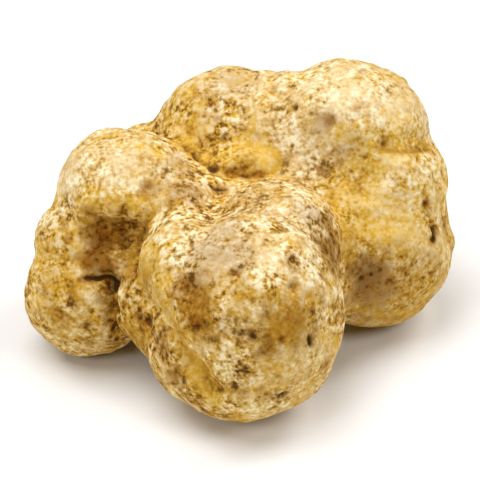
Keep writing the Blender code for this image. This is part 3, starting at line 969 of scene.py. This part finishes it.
class Finish:
    """A material's nodes, made one after another."""

    def __init__(self, name):
        self.material = bpy.data.materials.new(name)
        self.material.use_nodes = True
        self.nodes = self.material.node_tree.nodes
        self.links = self.material.node_tree.links
        self.shader = self.nodes["Principled BSDF"]

    def node(self, kind, settings, values, output=0):
        """Adds a node, sets it, fills or links its sockets, and gives one of its outputs."""
        made = self.nodes.new(kind)
        for name, value in settings.items():
            setattr(made, name, value)
        for name, value in values.items():
            self.feed(made.inputs[name], value)
        return Value(self, made.outputs[output])

    def feed(self, socket, value):
        if isinstance(value, Value):
            self.links.new(value.socket, socket)
        elif isinstance(socket.default_value, (int, float)):
            socket.default_value = value
        else:
            socket.default_value = (*value, 1.0)[: len(socket.default_value)]

    def attribute(self, name):
        return self.node("ShaderNodeAttribute", {"attribute_name": name}, {}, "Fac")

    def grain(self, place, size, detail=2.0, roughness=0.55):
        """Cloudy noise with bumps of about that size in millimetres."""
        scale = 1.0 / (size * MM)
        values = {"Vector": place, "Scale": scale, "Detail": detail, "Roughness": roughness}
        return self.node("ShaderNodeTexNoise", {}, values)

    def scattered(self, place, spacing, rim, heart=0.16):
        """1 in the heart of scattered spots, 0 past their rim, both as shares of the spacing."""
        values = {"Vector": place, "Scale": 1.0 / (spacing * MM)}
        distance = self.node("ShaderNodeTexVoronoi", {}, values, "Distance")
        return self.between(distance, rim, heart)

    def between(self, value, low, high, start=0.0, end=1.0):
        """Runs smoothly from start to end as the value goes from low to high."""
        return self.node(
            "ShaderNodeMapRange",
            {"interpolation_type": "SMOOTHSTEP"},
            {"Value": value, "From Min": low, "From Max": high, "To Min": start, "To Max": end},
        )

    def blend(self, share, first, second, mode="MIX"):
        """Mixes the second colour into the first, or darkens the first by it with MULTIPLY."""
        settings = {"data_type": "RGBA", "blend_type": mode}
        return self.node("ShaderNodeMix", settings, {0: share, 6: first, 7: second}, 2)

    def moved(self, place, size, reach):
        """The place, pushed about by noise, for natural outlines."""
        push = self.node("ShaderNodeTexNoise", {}, {"Vector": place, "Scale": 1.0 / (size * MM)}, "Color")
        push = self.node("ShaderNodeVectorMath", {"operation": "SUBTRACT"}, {0: push, 1: (0.5, 0.5, 0.5)})
        push = self.node("ShaderNodeVectorMath", {"operation": "SCALE"}, {0: push, "Scale": reach * MM})
        return self.node("ShaderNodeVectorMath", {"operation": "ADD"}, {0: place, 1: push})

    def shifted(self, place, shift):
        """The place, set aside, so that two noises there differ."""
        aside = (shift, shift, -shift)
        return self.node("ShaderNodeVectorMath", {"operation": "ADD"}, {0: place, 1: aside})


# In the sums below a noise is about 0.5 on average, and its factor says how much it counts.
# "rough" is 1 on the usual rind and goes down to 0 where the rind is calm.


def rind_grains(finish, place):
    """The noises that break up the rind's colours and its finest relief."""
    wavy = finish.moved(place, 2.4, 0.9)
    fold = finish.grain(finish.shifted(wavy, 0.91), 1.2, 2.0, 0.5) - 0.5
    return SimpleNamespace(
        broad=finish.grain(wavy, 4.2),
        hue=finish.grain(finish.shifted(wavy, 0.23), 3.0, 3.0, 0.6),
        mottle=finish.grain(finish.shifted(wavy, 0.57), 1.8, 2.0, 0.6),
        flake=finish.grain(finish.moved(place, 0.9, 0.25), 0.95, 2.0, 0.5),
        sand=finish.grain(place, 0.5, 1.0),
        vein=finish.between(fold.maths("ABSOLUTE", fold), 0.05, 0.0),
        busy=finish.between(finish.grain(finish.shifted(wavy, 1.31), 4.6), 0.36, 0.62, 0.45, 1.25),
    )


def rind_tone(finish, marks, grains, rough):
    """How light the rind is, from about 0 in its pores to 1 on its driest flecks."""
    # Painted shade in hollows and dips, and painted light on crests.
    hollow_shade = finish.between(marks.hollow, 0.58, 0.98)
    crest_light = finish.between(marks.hollow, 0.48, 0.28)
    coarse = (grains.broad - 0.5) * (rough * 0.5 + 0.35) + (grains.mottle - 0.5) * (rough * 0.65 + 0.4)
    fine = (grains.flake - 0.5) * (rough * 0.9 + 1.05) + (grains.sand - 0.5) * (rough * 0.3 + 0.95)
    tone = coarse + fine * grains.busy
    tone = tone + 0.58 - rough * 0.03 + marks.pale * 0.15 + marks.gold * 0.05
    tone = tone + crest_light * 0.06 + grains.vein * rough * 0.08
    tone = tone - marks.stain * 0.12 - hollow_shade * 0.08 - finish.between(marks.dip, 0.54, 0.95) * 0.15
    return tone.maths("MAXIMUM", tone, 0.06)


def rind_ground(finish, marks, grains, tone, colours):
    """The rind's own colours, from its pores up to its driest flecks."""
    # The low parts are also made warmer here, as part of the painted shade there.
    warmth = grains.hue + marks.gold * 0.6 - marks.pale * 0.12 + marks.low * 0.06
    yellow = finish.between(warmth, 0.42, 0.66)
    brown = finish.blend(yellow, colours.ochre, colours.amber)
    usual = finish.blend(yellow, colours.tan, colours.gold)
    dry = finish.blend(marks.gold * 0.85, colours.cream, colours.straw)
    driest = finish.between(tone, 0.82, 1.02) * (1.0 - marks.gold * 0.7)
    colour = finish.blend(finish.between(tone, -0.05, 0.14), colours.pore_and_shade, colours.stain)
    colour = finish.blend(finish.between(tone, 0.12, 0.36), colour, brown)
    colour = finish.blend(finish.between(tone, 0.32, 0.56), colour, usual)
    colour = finish.blend(finish.between(tone, 0.54, 0.82), colour, dry)
    return finish.blend(driest, colour, colours.fleck)


def rind_finish(colours):
    finish = Finish("rind")
    place = finish.node("ShaderNodeTexCoord", {}, {}, "Object")
    marks = SimpleNamespace(**{name: finish.attribute(name) for name in MARKS})
    grains = rind_grains(finish, place)
    rough = 1.0 - marks.calm
    tone = rind_tone(finish, marks, grains, rough)
    dots = finish.scattered(finish.moved(place, 0.5, 0.4), 0.9, 0.4) * marks.specks
    flecks = finish.scattered(finish.moved(place, 0.6, 0.5), 1.1, 0.36) * marks.pale * (1.0 - marks.gold)

    colour = rind_ground(finish, marks, grains, tone, colours)
    grey = finish.between(tone, 0.3, 0.6) * marks.ash
    colour = finish.blend(grey * 0.85, colour, colours.ash)
    # Brown stains, with painted shade in some of them.
    colour = finish.blend(marks.stain, colour, colours.soil, "MULTIPLY")
    colour = finish.blend(flecks * 0.55, colour, colours.fleck)
    colour = finish.blend(dots * 0.9, colour, colours.soil, "MULTIPLY")
    # Dark pits and cracks, and painted shadow lines.
    colour = finish.blend(finish.between(marks.dark, 0.05, 0.9), colour, colours.pore_and_shade)
    # Painted shade: darker and warmer towards the bottom.
    painted_low_shade = finish.blend(marks.low, WHITE, colours.low_shade)
    colour = finish.blend(1.0, colour, painted_low_shade, "MULTIPLY")
    finish.feed(finish.shader.inputs["Base Color"], colour)

    dull = finish.between(grains.flake, 0.35, 0.65, 0.6, 0.8) + marks.dark * 0.1
    finish.feed(finish.shader.inputs["Roughness"], dull)
    finish.feed(finish.shader.inputs["Specular IOR Level"], RIND_SPECULAR)

    height = grains.flake * (rough * 0.06 + 0.1) + grains.mottle * rough * 0.15
    height = height + grains.sand * 0.05 - dots * 0.1
    bump = finish.node("ShaderNodeBump", {}, {"Strength": 1.0, "Distance": MM, "Height": height})
    finish.feed(finish.shader.inputs["Normal"], bump)
    return finish.material


# ---------------------------------------------------------------------------
# The stage.


def flat_finish(name, colour, roughness):
    finish = Finish(name)
    finish.feed(finish.shader.inputs["Base Color"], colour)
    finish.feed(finish.shader.inputs["Roughness"], roughness)
    return finish.material


def add_floor(colour):
    mesh = bmesh.new()
    bmesh.ops.create_circle(mesh, cap_ends=True, segments=FLOOR_SIDES, radius=FLOOR_RADIUS)
    data = bpy.data.meshes.new("floor")
    mesh.to_mesh(data)
    mesh.free()
    floor = bpy.data.objects.new("floor", data)
    bpy.context.scene.collection.objects.link(floor)
    data.materials.append(flat_finish("floor", colour, 0.9))


def add_light(name, place, size, power):
    data = bpy.data.lights.new(name, "AREA")
    data.shape = "DISK"
    data.size = size
    data.energy = power
    light = bpy.data.objects.new(name, data)
    bpy.context.scene.collection.objects.link(light)
    light.location = place
    light.rotation_euler = (-Vector(place)).to_track_quat("-Z", "Y").to_euler()


def add_sky(brightness):
    world = bpy.data.worlds.new("studio")
    world.use_nodes = True
    background = world.node_tree.nodes["Background"]
    background.inputs["Color"].default_value = (1.0, 1.0, 1.0, 1.0)
    background.inputs["Strength"].default_value = brightness
    bpy.context.scene.world = world


def add_camera(studio):
    low, high = SOLID_BOX
    aim = (low + high) / 2 + AIM_SHIFT
    back = Vector((0.0, -math.cos(studio.elevation), math.sin(studio.elevation)))
    data = bpy.data.cameras.new("camera")
    data.lens = data.sensor_width * studio.distance / studio.framing
    data.clip_start = 0.01
    camera = bpy.data.objects.new("camera", data)
    bpy.context.scene.collection.objects.link(camera)
    camera.location = aim + back * studio.distance
    camera.rotation_euler = (-back).to_track_quat("-Z", "Y").to_euler()
    bpy.context.scene.camera = camera


# ---------------------------------------------------------------------------
# Operators, panel and registration.


class TRUFFLE_OT_rind(bpy.types.Operator):
    """Covers the truffle's solid with its knobbly, pitted and cracked rind"""

    bl_idname = "truffle.rind"
    bl_label = "Make the Rind"

    def execute(self, context):
        noise.seed_set(SEED)
        sizes = context.scene.truffle_sizes
        piece = merged_copy(NODE, "rind")
        refine(piece, sizes.grid, sizes.softening)
        skin = Skin(piece)
        knobble(skin, sizes.knobbles / MM)
        press_pits(skin, sizes.pits / MM)
        raise_knobs(skin)
        press_cracks(skin)
        mark_surface(skin)
        piece.data.shade_smooth()
        piece.data.materials.clear()
        piece.data.materials.append(rind_finish(context.scene.truffle_colours))
        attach(piece, BODY)
        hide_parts(NODE)
        return {"FINISHED"}


class TRUFFLE_OT_studio(bpy.types.Operator):
    """Sets a pale floor, soft lights and the camera round the truffle"""

    bl_idname = "truffle.studio"
    bl_label = "Set the Studio"

    def execute(self, context):
        studio = context.scene.truffle_studio
        add_floor(studio.floor_colour)
        for name, place, size, power in LIGHTS:
            add_light(name, place, size, studio.light * power)
        add_sky(studio.sky)
        add_camera(studio)
        context.scene.view_settings.view_transform = "Standard"
        return {"FINISHED"}


class TRUFFLE_PT_panel(bpy.types.Panel):
    """The truffle's sizes, colours and studio"""

    bl_idname = "TRUFFLE_PT_panel"
    bl_label = "White Truffle"
    bl_space_type = "VIEW_3D"
    bl_region_type = "UI"
    bl_category = "Truffle"

    def draw(self, context):
        for group, operator in (
            (context.scene.truffle_sizes, "truffle.rind"),
            (context.scene.truffle_colours, None),
            (context.scene.truffle_studio, "truffle.studio"),
        ):
            column = self.layout.column()
            for name in group.bl_rna.properties.keys():
                if name not in ("rna_type", "name"):
                    column.prop(group, name)
            if operator:
                column.operator(operator)


CLASSES = (
    RindSizes,
    RindColours,
    StudioSettings,
    TRUFFLE_OT_rind,
    TRUFFLE_OT_studio,
    TRUFFLE_PT_panel,
)


def register():
    for item in CLASSES:
        bpy.utils.register_class(item)
    bpy.types.Scene.truffle_sizes = PointerProperty(type=RindSizes)
    bpy.types.Scene.truffle_colours = PointerProperty(type=RindColours)
    bpy.types.Scene.truffle_studio = PointerProperty(type=StudioSettings)


def unregister():
    del bpy.types.Scene.truffle_studio
    del bpy.types.Scene.truffle_colours
    del bpy.types.Scene.truffle_sizes
    for item in reversed(CLASSES):
        bpy.utils.unregister_class(item)


def main():
    register()
    bpy.ops.truffle.rind()
    bpy.ops.truffle.studio()


if __name__ == "__main__":
    main()
